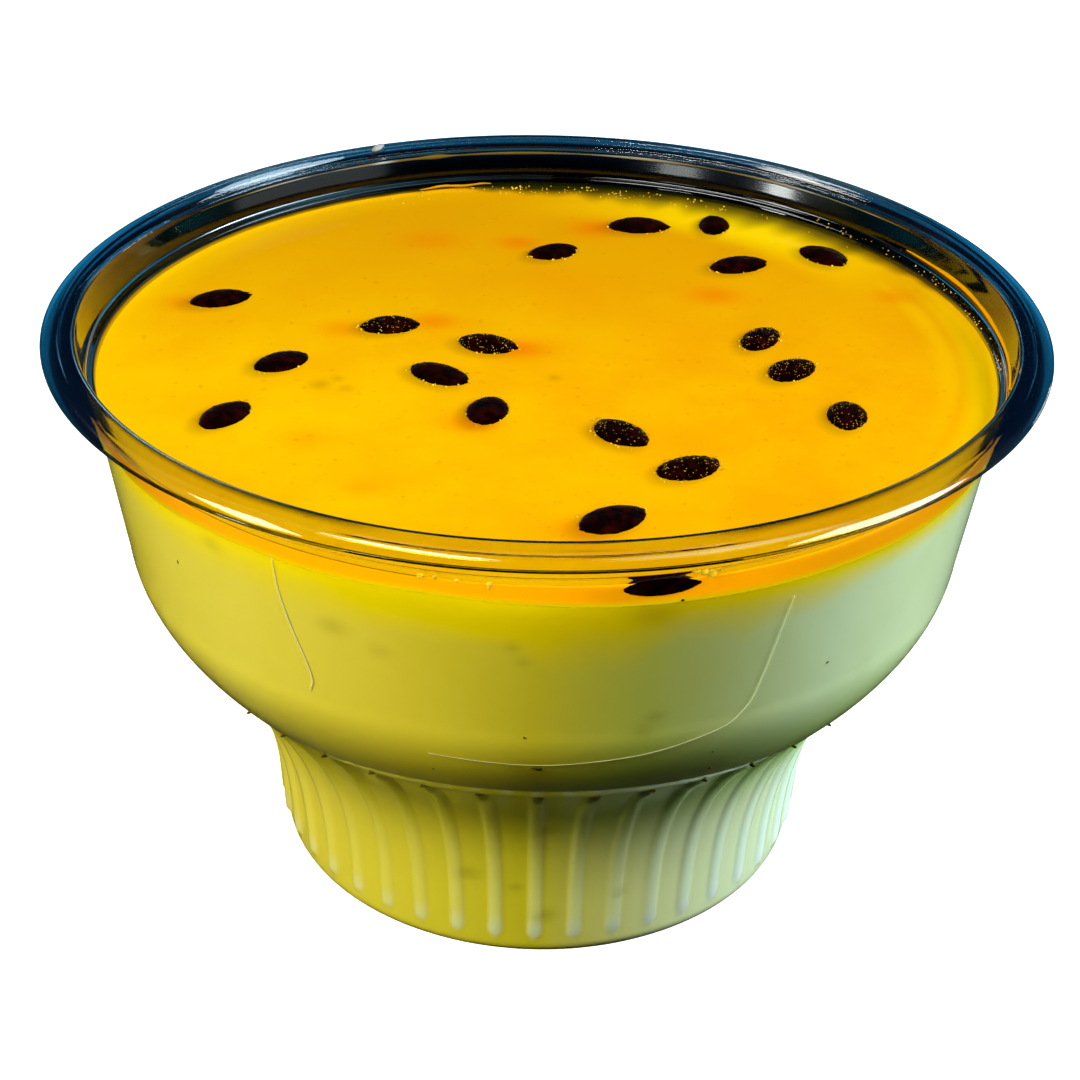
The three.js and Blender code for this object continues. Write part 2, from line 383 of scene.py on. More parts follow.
def paint_rings(piece, name, values):
    """Paints a closed body's rings and leaves its poles bare."""
    paint(piece, name, np.append(values.ravel(), (0, 0)))


def smooth(low, high, values):
    share = np.clip((values - low) / (high - low), 0, 1)
    return share * share * (3 - 2 * share)


def between(values, start, full, fade, end):
    """A share that rises from start to full and falls from fade to end."""
    return smooth(start, full, values) * smooth(end, fade, values)


def hump(values, middle, spread):
    """A bell-shaped share round the middle."""
    return np.exp(-((values - middle) / spread) ** 2)


def most(*shares):
    """The largest of several shares at each point."""
    return np.maximum.reduce(np.broadcast_arrays(*shares))


def spots(table, x, y, x_scale=1, y_scale=1):
    """The strongest of a table's spots at each point."""
    shares = []
    for middle_x, middle_y, spread, strength in table:
        away = np.hypot((x - middle_x) * x_scale, (y - middle_y) * y_scale)
        shares.append(strength * hump(away, 0, spread))
    return most(*shares)


def tapered(share):
    """Thickness along a strip with round ends."""
    return np.sin(np.pi * (0.02 + 0.96 * share)) ** 0.5


# Materials

class Shader:
    """The nodes of a material or of the surroundings."""

    def __init__(self, owner, output="OutputMaterial"):
        self.owner = owner
        owner.use_nodes = True
        self.tree = owner.node_tree
        self.tree.nodes.clear()
        self.output = self.add(output)

    def add(self, kind, inputs=None, **settings):
        """A new node; each input is another node's output, a number or a colour."""
        made = self.tree.nodes.new("ShaderNode" + kind)
        for name, value in settings.items():
            setattr(made, name, value)
        for socket, value in (inputs or {}).items():
            if isinstance(value, bpy.types.NodeSocket):
                self.tree.links.new(value, made.inputs[socket])
            elif isinstance(value, tuple):
                made.inputs[socket].default_value = (*value, 1)
            else:
                made.inputs[socket].default_value = value
        return made

    def math(self, operation, first, second):
        return self.add("Math", {0: first, 1: second}, operation=operation).outputs[0]

    def product(self, first, second):
        return self.math("MULTIPLY", first, second)

    def span(self, value, low, high, start=0, end=1, kind="SMOOTHSTEP"):
        inputs = {"Value": value, "From Min": low, "From Max": high, "To Min": start, "To Max": end}
        return self.add("MapRange", inputs, interpolation_type=kind).outputs["Result"]

    def mix(self, share, first, second, kind="MIX"):
        inputs = {0: share, 6: first, 7: second}
        return self.add("Mix", inputs, data_type="RGBA", blend_type=kind).outputs[2]

    def noise(self, scale, detail=3, roughness=0.5):
        place = self.add("TexCoord").outputs["Object"]
        inputs = {"Vector": place, "Scale": scale, "Detail": detail, "Roughness": roughness}
        return self.add("TexNoise", inputs).outputs["Fac"]

    def ramp(self, value, stops):
        made = self.add("ValToRGB", {0: value})
        stops = [(position, (*colour, 1)) for position, colour in stops]
        points = made.color_ramp.elements
        points[0].position, points[0].color = stops[0]
        points[1].position, points[1].color = stops[-1]
        for position, colour in stops[1:-1]:
            points.new(position).color = colour
        return made.outputs["Color"]

    def place(self, kind="Object"):
        return self.add("SeparateXYZ", {0: self.add("TexCoord").outputs[kind]}).outputs

    def layer(self, name):
        return self.add("Attribute", attribute_name=name).outputs["Fac"]

    def tinted(self, colour, tints):
        """A colour mixed with others in turn, each by its painted layer."""
        for name, tint in tints.items():
            colour = self.mix(self.layer(name), colour, tint)
        return colour

    def bump(self, height, strength, distance):
        inputs = {"Height": height, "Strength": strength, "Distance": distance}
        return self.add("Bump", inputs).outputs["Normal"]

    def show(self, inputs, kind="BsdfPrincipled"):
        """Ends the tree with one surface."""
        surface = self.add(kind, inputs)
        self.tree.links.new(surface.outputs[0], self.output.inputs["Surface"])
        return self.owner


def new_look(name):
    return Shader(bpy.data.materials.new(name))


def clear_plastic():
    """The plastic is painted a warm gel colour that stands in for the gel seen through it and mirrored in
    it. It is painted dark as shade where its step bends the light away, on the back wall, on the lip and
    on the inner edge.
    """
    shader = new_look("clear_plastic")
    flow = shader.span(shader.noise(40, detail=1), 0.3, 0.7, 0.02, 0.045)
    # Painted light: a gel colour seen through the plastic, and painted shade on the step, back wall, lip
    # and inner edge
    tints = {"painted_gel_colour": (0.96, 0.97, 0.1), "painted_shade": (0.0004, 0.0008, 0.001)}
    return shader.show({
        "Base Color": shader.tinted((0.94, 0.97, 1), tints),
        "Roughness": shader.math("ADD", flow, shader.product(shader.layer("soft"), 0.2)),
        "IOR": 1.49,
        "Specular IOR Level": shader.span(shader.layer("dull"), 0, 1, 0.5, 0),
        "Transmission Weight": 1,
    })


def bowl_mousse(shader, across):
    """Mottled mousse in the bowl; its colour is painted warmer on the left and cooler on the right, as
    the lamps colour it.
    """
    body = shader.ramp(across, [
        (0.1, (0.89, 0.79, 0.1)), (0.3, (0.88, 0.76, 0.06)), (0.5, (0.82, 0.74, 0.045)),
        (0.66, (0.66, 0.78, 0.13)), (0.9, (0.77, 0.96, 0.49)),
    ])
    deeper = shader.ramp(across, [
        (0.1, (0.84, 0.72, 0.05)), (0.5, (0.76, 0.67, 0.02)), (0.9, (0.66, 0.84, 0.36)),
    ])
    cloud = shader.span(shader.noise(120, detail=5, roughness=0.6), 0.35, 0.75)
    return shader.mix(shader.product(cloud, 0.45), body, deeper)


def foot_mousse(shader, across, z):
    """Mousse in the foot, painted cooler to the right as the lamps colour it, with painted highlights:
    paler bars behind the ribs and brighter rib ends low down.
    """
    groove = shader.ramp(across, [
        (0.1, (0.84, 0.73, 0.07)), (0.5, (0.79, 0.74, 0.028)), (0.7, (0.9, 1, 0.42)),
        (0.9, (0.8, 1, 0.56)),
    ])
    bar = shader.ramp(across, [
        (0.1, (0.92, 0.86, 0.2)), (0.5, (0.92, 1, 0.36)), (0.9, (0.76, 1, 0.74)),
    ])
    rib = shader.layer("rib")
    # Painted highlight on the rounded lower ends of the ribs
    tip = shader.product(rib, shader.span(z, 0.0055, 0.0025))
    return shader.mix(tip, shader.mix(rib, groove, bar), (0.86, 1, 0.74))


def neck_shade(shader, across):
    """Shade under the bowl, deepest in the middle."""
    return shader.ramp(across, [
        (0.1, (0.72, 0.72, 0.06)), (0.36, (0.62, 0.62, 0.06)), (0.5, (0.28, 0.31, 0.03)),
        (0.64, (0.5, 0.7, 0.18)), (0.9, (0.64, 0.86, 0.3)),
    ])


def mousse_material():
    shader = new_look("mousse")
    x, _, z = shader.place()
    across = shader.span(x, -0.042, 0.042)
    foot = foot_mousse(shader, across, z)
    filled = shader.mix(shader.span(z, 0.022, 0.028), foot, bowl_mousse(shader, across))
    at_neck = shader.product(shader.span(z, 0.012, 0.025), shader.span(z, 0.038, 0.028))
    in_neck = shader.mix(1, filled, neck_shade(shader, across), "MULTIPLY")
    shaded = shader.mix(at_neck, filled, in_neck)
    return shader.show({
        # The patch layer holds darker patches and a painted shadow under the sunk seed
        "Base Color": shader.tinted(shaded, {"stain": (0.97, 0.8, 0.0005), "patch": (0.3, 0.24, 0.01)}),
        "Roughness": shader.span(shader.noise(300), 0.3, 0.7, 0.45, 0.6),
        "Specular IOR Level": 0.03,
        "Normal": shader.bump(shader.noise(500), 0.05, 0.0003),
        # Painted glow: emission standing in for light from the gel
        "Emission Color": (1, 0.62, 0),
        "Emission Strength": shader.layer("painted_glow"),
    })


def gel_material():
    shader = new_look("gel")
    x, y, _ = shader.place()
    mottle = shader.span(shader.noise(90, detail=4, roughness=0.6), 0.3, 0.7)
    left = shader.mix(mottle, (0.83, 0.475, 0.0003), (0.81, 0.41, 0.0003))
    right = shader.mix(mottle, (0.79, 0.39, 0.0003), (0.765, 0.325, 0.0003))
    to_right = shader.span(x, -0.035, 0.035)
    near = shader.mix(to_right, left, right)
    far = shader.mix(to_right, (0.63, 0.3, 0.0003), (0.645, 0.295, 0.0003))
    body = shader.mix(shader.span(y, -0.018, 0.04), near, far)
    flecks = shader.span(shader.noise(1100, detail=2), 0.66, 0.74)
    flecked = shader.mix(shader.product(flecks, 0.35), body, (0.55, 0.22, 0.0004))
    tints = {
        "pale": (0.86, 0.6, 0.0004),
        "band": (0.95, 0.37, 0.0004),
        "pulp": (0.72, 0.11, 0.0004),
        "shade": (0.26, 0.13, 0.0004),
        "blend": (0.62, 0.48, 0.001),
        # Painted shade and dark reflection at the gel's edge
        "edge": (0.014, 0.016, 0.001),
    }
    return shader.show({
        "Base Color": shader.tinted(flecked, tints),
        "Roughness": shader.span(shader.noise(150), 0.3, 0.7, 0.07, 0.12),
        "IOR": 1.04,
        "Normal": shader.bump(shader.noise(200), 0.02, 0.0004),
    })


def seed_material():
    shader = new_look("seed")
    tone = shader.noise(900, detail=4)
    black = (0.003, 0.0005, 0.0004)
    brown = (0.02, 0.0018, 0.0006)
    return shader.show({
        "Base Color": shader.mix(shader.span(tone, 0.4, 0.75), black, brown),
        "Roughness": shader.span(tone, 0.3, 0.7, 0.3, 0.5),
        "Specular IOR Level": 0.04,
        "Normal": shader.bump(tone, 0.6, 0.0004),
    })


def grainy_material(name, scale, grain, colours, roughness, shine):
    """A plain surface whose colour and roughness vary with a fine grain."""
    shader = new_look(name)
    tone = shader.span(shader.noise(scale), *grain)
    return shader.show({
        "Base Color": shader.mix(tone, *colours),
        "Roughness": shader.span(tone, 0, 1, *roughness),
        "Specular IOR Level": shine,
    })


def bubble_material():
    colours = (0.8, 0.56, 0.03), (0.46, 0.28, 0.004)
    return grainy_material("bubble", 700, (0.35, 0.65), colours, (0.04, 0.12), 0.8)


def speck_material():
    colours = (0.05, 0.044, 0.004), (0.13, 0.11, 0.01)
    return grainy_material("speck", 600, (0.3, 0.7), colours, (0.4, 0.6), 0.1)


# Pale colour for the painted reflections on the bowl
def reflection_material():
    shader = new_look("painted_wall_reflection")
    tone = shader.span(shader.noise(250), 0.3, 0.7)
    return shader.show({
        "Base Color": shader.mix(tone, (0.94, 0.96, 0.72), (0.9, 0.92, 0.62)),
        "Roughness": 0.3,
        "Specular IOR Level": 0.5,
    })


def smear_and_highlight_material():
    shader = new_look("smear_and_highlight")
    tone = shader.mix(shader.noise(60), (0.13, 0.09, 0.008), (0.18, 0.13, 0.02))
    return shader.show({
        # Painted highlights where the layer is strong
        "Base Color": shader.tinted(tone, {"painted_highlight": (0.42, 0.46, 0.46)}),
        "Roughness": 0.3,
        "Specular IOR Level": 0.1,
    })


# The cup

def rib_relief(radius, z, azimuth):
    """How far a rib stands out; its shoulders and its lower end are round."""
    pitch = 2 * np.pi / RIB_COUNT
    across = radius * ((azimuth + pitch / 2) % pitch - pitch / 2)
    below = np.clip(RIB_END_Z + RIB_WIDTH / 2 - z, 0, None)
    away = np.hypot(across, below)
    return RIB_HEIGHT * smooth(RIB_WIDTH / 2, RIB_WIDTH / 2 - RIB_EDGE, away)


def rim_top():
    """The rim's upper face, from the wall over the flange and down the bead."""
    low = (UPPER_WALL_RADIUS - WALL, UPPER_WALL_Z)
    edge = (RIM_INNER_RADIUS, RIM_EDGE_Z)
    flange = (RIM_INNER_RADIUS + RIM_ROUND, RIM_TOP_Z)
    crest = (BEAD_CREST_RADIUS, RIM_TOP_Z)
    side = (RIM_RADIUS, LIP_Z + SHEET / 2 + 0.05)
    return joined(
        straight(low, edge, 4),
        bent(edge, (RIM_INNER_RADIUS, RIM_TOP_Z), flange, 6),
        straight(flange, crest, 10),
        bent(crest, (RIM_RADIUS - 0.5, RIM_TOP_Z - 0.1), side, 8),
        straight(side, (RIM_RADIUS, LIP_Z + SHEET / 2), 1),
    )


def inner_step():
    """The inside of the step, from the wall below it to the wall above it."""
    wall = WALL_TOP_RADIUS - WALL
    low = (wall - 0.05, TREAD_Z - 0.45)
    tread_in = (wall + 0.12, TREAD_Z - 0.12)
    tread_out = (wall + 0.72, TREAD_Z + 0.13)
    upper = rim_top()[0]
    return joined(
        bent(low, (wall, TREAD_Z - 0.18), tread_in, 3),
        straight(tread_in, tread_out, 4),
        bent(tread_out, (upper[0], TREAD_Z + 0.21), upper, 4),
    )


def rim_section():
    """The rim as a thin sheet: up from the step, under the flange and back over the top."""
    top = rim_top()
    under = top + SHEET * outward(top)
    lip_middle = (RIM_RADIUS - SHEET / 2, LIP_Z)
    step_centre = ((WALL_TOP_RADIUS + UPPER_WALL_RADIUS) / 2, STEP_Z + 0.2)
    return joined(
        bent((WALL_TOP_RADIUS - 0.05, STEP_Z - 0.3), (WALL_TOP_RADIUS, STEP_Z + 0.05), step_centre, 4),
        bent(step_centre, (under[0, 0], STEP_Z + STEP_RISE - 0.05), under[0], 4),
        under,
        bent(under[-1], (under[-1, 0], LIP_Z), lip_middle, 3),
        bent(lip_middle, (RIM_RADIUS, LIP_Z), top[-1], 3),
        top[::-1],
        inner_step()[::-1],
    )


def crease_drop(radius, z, turn):
    """How far the crease lowers the rim; it fades out on both sides of the front."""
    aside = np.abs(turn)
    share = np.maximum(smooth(24, 12, aside), smooth(60, 80, aside))
    drop = CREASE_DEPTH * smooth(CREASE_HALF_WIDTH, 0, np.abs(radius - RIM_CREASE_RADIUS))
    return np.where(z > RIM_TOP_Z - SHEET - 0.1, drop, 0) * share


def inner_shift(turn):
    """How far the rim's inner edge moves in and down at each angle."""
    inward = PINCH * smooth(90, 0, np.abs(turn))
    down = SAG * smooth(85, 135, np.abs(turn))
    return inward, down


def cup_section():
    """Under the foot, up the outside, over the rim and down to the floor."""
    start = (FOOT_RADIUS - FOOT_ROUND, 0)
    foot = foot_line(FOOT_ROUND, 28)
    inside = inside_line(WALL, 10, 6, 4)
    above_floor = inside[(inside[:, 1] > FLOOR + 0.2) & (inside[:, 1] < STEP_Z - 1)]
    return joined(
        straight((POLE_RADIUS, 0), start, 3),
        bent(start, (FOOT_RADIUS, 0), foot[0], 5),
        foot,
        bent(foot[-1], (LEDGE_RADIUS, LEDGE_Z + 0.1), (BOWL_FOOT_RADIUS, BOWL_FOOT_Z), 4),
        bowl_line(14, 5)[:-1],
        rim_section(),
        above_floor[::-1],
        straight((radius_at(inside, FLOOR), FLOOR), (POLE_RADIUS, FLOOR), 3),
    )


def cup_points(section, azimuth, turn, on_foot):
    """The turned section, with the ribs, the crease and the rim's uneven inner edge."""
    radius = section[:, :1]
    z = section[:, 1:]
    normal = outward(section)
    rise = np.where(on_foot, rib_relief(radius, z, azimuth), 0)
    drop = crease_drop(radius, z, turn)
    up_wall = np.clip((z - UPPER_WALL_Z) / (RIM_EDGE_Z - UPPER_WALL_Z), 0, 1)
    at_edge = smooth(RIM_INNER_RADIUS + 1.6, RIM_INNER_RADIUS + RIM_ROUND, radius) * up_wall
    inward, down = inner_shift(turn)
    out = radius - inward * at_edge + rise * normal[:, :1]
    up = z - drop - down * at_edge + rise * normal[:, 1:]
    return turned(out, up, azimuth)


def paint_cup(cup, radius, z, turn, outside):
    """Where the plastic has its painted gel colour and its painted shade, and where it is soft or dull.
    """
    aside = np.abs(turn)
    full_turn = turn % 360
    on_wall = smooth(46, 45.8, radius) * between(z, 55, 55.4, 58.3, 58.7)
    back_wall = on_wall * smooth(110, 135, aside)
    above_tread = np.where(outside, smooth(54.7, 55, z), smooth(54.3, 54.55, z))
    on_step = above_tread * smooth(56, 55.7, z)
    on_edge = smooth(46.7, 46.4, radius) * smooth(57.9, 58.2, z)
    front_edge = on_edge * between(aside, 14, 24, 66, 78)

    # Painted gel colour where the gel shows through the front of the rim and the walls at the sides
    gel_colour_front = smooth(48, 34, aside) * smooth(56, 57, z)
    gel_colour_sides = on_wall * smooth(60, 40, np.abs(aside - 90))
    paint_rings(cup, "painted_gel_colour", most(gel_colour_front, gel_colour_sides))

    # Painted shade on the lip beside the front, on the step away from the front, on the back wall and on
    # the inner edge
    on_lip = smooth(48.6, 48.9, radius) * smooth(58.55, 58.2, z)
    beside_front = between(aside, 18, 30, 62, 80)
    lip_shade = on_lip * beside_front * np.where(turn > 0, 0.3, 0.9)
    step_shade = on_step * smooth(48, 62, aside)
    edge_shade = front_edge * smooth(46.4, 46.1, radius)
    paint_rings(cup, "painted_shade", most(step_shade, 0.95 * back_wall, lip_shade, 0.75 * edge_shade))

    foot_and_ledge = outside & (z > 0) & (z < BOWL_FOOT_Z + 0.3)
    soft_step = on_step * smooth(-98, -115, turn)
    paint_rings(cup, "soft", most(0.5 * back_wall, foot_and_ledge, 0.7 * soft_step))

    dull_step = on_step * between(full_turn, 60, 80, 195, 205)
    on_bead = between(radius, 47.5, 47.8, 48.32, 48.42) * smooth(57.9, 58.1, z)
    dull_bead = on_bead * smooth(54, 46, aside)
    paint_rings(cup, "dull", most(dull_step, front_edge, dull_bead))


def cup_piece(material):
    section = cup_section()
    azimuth = azimuths(RIB_COUNT * COLUMNS_PER_RIB)[None, :]
    turn = signed_degrees(azimuth)
    radius = section[:, :1]
    z = section[:, 1:]
    outside = (np.arange(len(section)) < np.argmax(section[:, 1]))[:, None]
    on_foot = outside & (z > 0) & (z < LEDGE_Z)
    points = cup_points(section, azimuth, turn, on_foot)
    cup = mesh_piece("cup_clear", *closed_body(points, (0, 0, 0), (0, 0, FLOOR)), material)
    paint_cup(cup, radius, z, turn, outside)
    # Lamps shine straight through the clear wall onto the food
    cup.visible_shadow = False
    cup.visible_diffuse = False
    return cup


# The food

def by_angle(table, degrees):
    """The columns of a table of angles, read at each angle."""
    angles, *columns = np.array(table).T
    return [np.interp(degrees, angles, column) for column in columns]


def band_low(degrees):
    """Lower edge of the gel at the wall."""
    angles, heights = np.array(BAND_EDGE).T
    return np.interp(degrees, angles, heights, left=BAND_BACK_Z, right=BAND_BACK_Z)


def mousse_section():
    """Under the foot, up the inside of the wall and across under the gel."""
    line = inside_line(SKIN, *FINE_STEPS)
    low = FOOT_ROUND + 0.2
    low_radius = radius_at(line, low)
    base = (low_radius - FOOT_ROUND, SKIN)
    side = line[(line[:, 1] > low + 0.2) & (line[:, 1] < MOUSSE_TOP_Z - 0.2)]
    return joined(
        straight((POLE_RADIUS, SKIN), base, 4),
        bent(base, (low_radius, SKIN), (low_radius, low), 4),
        side,
        straight((radius_at(line, MOUSSE_TOP_Z), MOUSSE_TOP_Z), (POLE_RADIUS, MOUSSE_TOP_Z), 4),
    )


def paint_ribs(piece, relief, z, azimuth):
    """Painted highlight on the ribs, brightest low on the foot and towards the right."""
    low_down = 0.3 + 0.7 * smooth(20, 3, z)
    to_right = 0.35 + 0.65 * smooth(-0.55, 0.15, np.sin(azimuth))
    paint_rings(piece, "rib", relief * low_down * to_right / RIB_HEIGHT)


def paint_soaked(piece, z, azimuth):
    """Gel soaked into the top of the mousse, and a painted glow that stands in for the light spreading
    down from it.
    """
    degrees = signed_degrees(azimuth)
    below = band_low(degrees) - z
    ragged = 3 * np.sin(azimuth * 23) * np.sin(azimuth * 7 + 1)
    starts, stops = by_angle(STAIN_DEPTHS, degrees + ragged)
    paint_rings(piece, "stain", np.clip((stops - below) / (stops - starts), 0, 1))
    spread = 0.15 * between(degrees, -100, -60, 30, 48) + 0.2 * hump(degrees, -4, 9)
    paint_rings(piece, "painted_glow", spread * np.exp(-np.clip(below, 0, None) / GLOW_DEPTH))


def mousse_piece(material):
    """It fills the foot, part of its ribs and the bowl."""
    section = mousse_section()
    azimuth = azimuths(RIB_COUNT * COLUMNS_PER_RIB)[None, :]
    radius = section[:, :1]
    z = section[:, 1:]
    normal = outward(section)
    on_foot = (z > SKIN) & (z < LEDGE_Z)
    relief = np.where(on_foot, rib_relief(radius, z, azimuth), 0)
    filled = relief * RIB_FILL
    points = turned(radius + filled * normal[:, :1], z + filled * normal[:, 1:], azimuth)
    body = closed_body(points, (0, 0, SKIN), (0, 0, MOUSSE_TOP_Z))
    piece = mesh_piece("mousse_fill", *body, material)
    paint_ribs(piece, relief, z, azimuth)
    paint_soaked(piece, z, azimuth)
    # Patches are half as wide again as they are high
    across = np.radians(radius) / 1.5
    paint_rings(piece, "patch", spots(PATCHES, signed_degrees(azimuth), z, x_scale=across))
    return piece


def seed_frame(x, y, place):
    """Place along and across a seed, in half lengths and half widths."""
    sx, sy, turn, length, width = place
    angle = math.radians(turn)
    along = (x - sx) * math.cos(angle) + (y - sy) * math.sin(angle)
    across = (y - sy) * math.cos(angle) - (x - sx) * math.sin(angle)
    return along / (length / 2), across / (width / 2)


def gel_grid():
    """Rings under the gel, up its wavy side, over its brim and in to the middle."""
    azimuth = azimuths(GEL_COLUMNS)[None, :]
    line = inside_line(GEL_SKIN, *GEL_STEPS)
    climb = MENISCUS_RISE + CLIMB_RISE * hump(np.degrees(azimuth), CLIMB_DEG, CLIMB_SPREAD_DEG)
    edge_top = GEL_TOP_Z + climb
    edge_radius = radius_at(line, edge_top)
    low = band_low(signed_degrees(azimuth))
    share = np.array([0, 0.01, 0.06, 0.15, 0.3, 0.45, 0.6, 0.75, 0.9, 1])[:, None]
    side_z = low * (1 - share) + edge_top * share
    side_radius = radius_at(line, side_z)
    under_radius = np.array(GEL_UNDER_RADII)[:, None] + 0 * azimuth
    in_from_edge = np.linspace(0, MENISCUS_WIDTH, 9)[1:, None]
    brim_radius = edge_radius - in_from_edge
    brim_z = GEL_TOP_Z + climb * (1 - in_from_edge / MENISCUS_WIDTH) ** 2
    inward = np.linspace(1, 0.01, 125)[1:, None]
    top_radius = (edge_radius - MENISCUS_WIDTH) * inward
    radius = np.vstack([under_radius, side_radius, brim_radius, top_radius])
    z = np.vstack([0 * under_radius + GEL_BOTTOM_Z, side_z, brim_z, 0 * top_radius + GEL_TOP_Z])
    return turned(radius, z, azimuth), side_z - low


def top_shade(x, y):
    """Shade beside each seed, and the smudges."""
    shade = spots(SMUDGES, x, y)
    for place in SEEDS:
        along, across = seed_frame(x + 0.7, y + 0.8, place)
        shade = np.maximum(shade, 0.4 * smooth(1.45, 0.7, np.hypot(along, across)))
    return shade


def side_shade(turn):
    """Shade at the wall, by the sunk seed and towards both sides."""
    at_seed = 0.3 * hump(turn, 9, 5)
    to_sides = 0.2 * smooth(36, 50, -turn) + 0.28 * smooth(22, 36, turn)
    return np.maximum(at_seed, to_sides)


def pale_edge(reach, turn):
    """Where the gel looks pale towards its edge."""
    full_turn = turn % 360
    ring = hump(reach, 39.8, 1.2) * hump(turn, 100, 38)
    back_left = smooth(39, 43, reach) * hump(full_turn, 235, 40)
    back_right = smooth(33, 38.5, reach) * hump(full_turn, 148, 24)
    right = smooth(40.3, 42.6, reach) * hump(turn, 84, 26)
    return most(0.3 * ring, 0.3 * back_left, 0.9 * back_right, 0.8 * right)


def gel_piece(material):
    points, above_low_edge = gel_grid()
    vertices, faces = closed_body(points, (0, 0, GEL_BOTTOM_Z), (0, 0, GEL_TOP_Z))
    x, y, z = vertices.T
    reach = np.hypot(x, y)
    turn = np.degrees(np.arctan2(x, -y))
    on_top = z >= GEL_TOP_Z - 1e-6
    swell = 0.04 * np.sin(x / 7.3 + 1) * np.sin(y / 6.1) + 0.02 * np.sin(x / 2.9 - y / 3.7)
    vertices[:, 2] += np.where(on_top, swell * smooth(43, 38, reach), 0)
    piece = mesh_piece("gel_layer", vertices, faces, material)
    paint(piece, "shade", np.where(on_top, top_shade(x, y), side_shade(turn)))
    paint(piece, "pulp", np.where(on_top, spots(PULP, x, y, y_scale=1.3), 0))
    paint(piece, "pale", np.where(on_top, pale_edge(reach, turn), 0))
    first_side = len(GEL_UNDER_RADII)
    first_brim = first_side + len(above_low_edge)
    blend = np.zeros(points.shape[:2])
    blend[first_side:first_brim] = smooth(0.8, 0, above_low_edge)
    band = np.zeros(points.shape[:2])
    band[first_side:first_brim] = 1
    paint_rings(piece, "blend", blend)
    paint_rings(piece, "band", band)
    # Painted shade at the gel's edge by the wall
    paint_rings(piece, "edge", gel_edge_shade(points, first_brim))
    return piece


def gel_edge_shade(points, first_brim_ring):
    """How dark the painted shade at the gel's edge is, from the wall inward."""
    azimuth = np.arctan2(points[-1, :, 0], -points[-1, :, 1])
    ragged = 0.16 * np.sin(azimuth * 31) * np.sin(azimuth * 11 + 2) + 0.1 * np.sin(azimuth * 67)
    start, stop = by_angle(EDGE_SHADE_WIDTHS, np.degrees(azimuth))
    stop = np.maximum(stop * (1 + ragged), start + 0.01)
    reach = np.hypot(points[..., 0], points[..., 1])
    from_wall = reach[first_brim_ring - 1] - reach
    edge = (1 - smooth(start, stop, from_wall)) * (stop > 0.05)
    edge[:first_brim_ring - 1] = 0
    return edge


def film_body(start, end, height, half_height):
    share = np.linspace(0, 1, 120)
    azimuth = np.radians(start + (end - start) * share)
    wave = 0.1 * np.sin(share * 19) + 0.06 * np.sin(share * 41 + 1)
    half = half_height * tapered(share) * (1 + wave)
    middle = height + 0.08 * np.sin(share * 11 + 0.5)
    around = azimuths(12)[:, None]
    z = middle + half * np.sin(around)
    inside = radius_at(joined(inner_step(), rim_top()[:4]), z)
    radius = inside + 0.02 - FILM_THICKNESS * np.clip(np.cos(around), 0, 1)
    return capped(turned(radius, z, azimuth).transpose(1, 0, 2))


def film_piece(material):
    """Gel left on the inside of the wall."""
    return mesh_piece("gel_film", *gathered([film_body(*film) for film in FILMS]), material)


def gathered(bodies):
    """Vertices and faces of many bodies, each given as rings and two poles."""
    vertices = []
    faces = []
    count = 0
    for points, first_pole, last_pole in bodies:
        body, skin = closed_body(points, first_pole, last_pole, count)
        vertices.append(body)
        faces += skin
        count += len(body)
    return np.vstack(vertices), faces


def turned_points(points, turn_deg):
    """Points turned about +Z."""
    angle = math.radians(turn_deg)
    along = (math.cos(angle), math.sin(angle), 0)
    across = (-math.sin(angle), math.cos(angle), 0)
    return points @ np.array([along, across, (0, 0, 1)])


def on_ring(turn_deg, reach, z):
    """The point at an angle, a distance from the middle and a height."""
    azimuth = math.radians(turn_deg)
    return np.array([reach * math.sin(azimuth), -reach * math.cos(azimuth), z])


def seed_rings(length, width, rng):
    """One flat seed along X, pointed at both ends and finely pitted."""
    along = -np.cos(np.linspace(0, np.pi, 30))[1:-1, None]
    around = azimuths(36)[None, :]
    girth = (1 - along ** 2) ** rng.uniform(0.52, 0.66)
    height = (1 - along ** 2) ** 0.55
    x = along * length / 2 + 0.03 * length * smooth(0.88, 1, along) + 0 * around
    y = girth * np.cos(around) * width / 2
    z = height * np.sin(around) * SEED_THICKNESS / 2
    y = y + rng.uniform(-0.25, 0.25) * along ** 2
    points = np.stack([x, y, z], axis=-1)
    shift = Vector(rng.uniform(-50, 50, 3))
    flat = points.reshape(-1, 3)
    pits = np.array([noise.noise(Vector(p) * 2.6 + shift) for p in flat])
    flat *= (1 + 0.05 * pits)[:, None]
    return points


def capped(points):
    """Rings, with a pole in the middle of the first and of the last."""
    return points, points[0].mean(axis=0), points[-1].mean(axis=0)


def bead(centre, size):
    """A small ball, or an ellipsoid with half sizes along X, Y and Z."""
    polar = np.linspace(0, np.pi, 8)[1:-1, None]
    around = azimuths(10)[None, :]
    x = np.sin(polar) * np.cos(around)
    y = np.sin(polar) * np.sin(around)
    z = -np.cos(polar) + 0 * around
    return capped(np.stack([x, y, z], axis=-1) * np.array(size) + np.array(centre))


def wall_bead(turn_deg, reach, z, half_width, half_height, depth):
    """A small ellipsoid on a turned face, flattened against it."""
    points = bead((0, 0, 0), (half_width, depth, half_height))[0]
    return capped(turned_points(points, -turn_deg) + on_ring(turn_deg, reach, z))


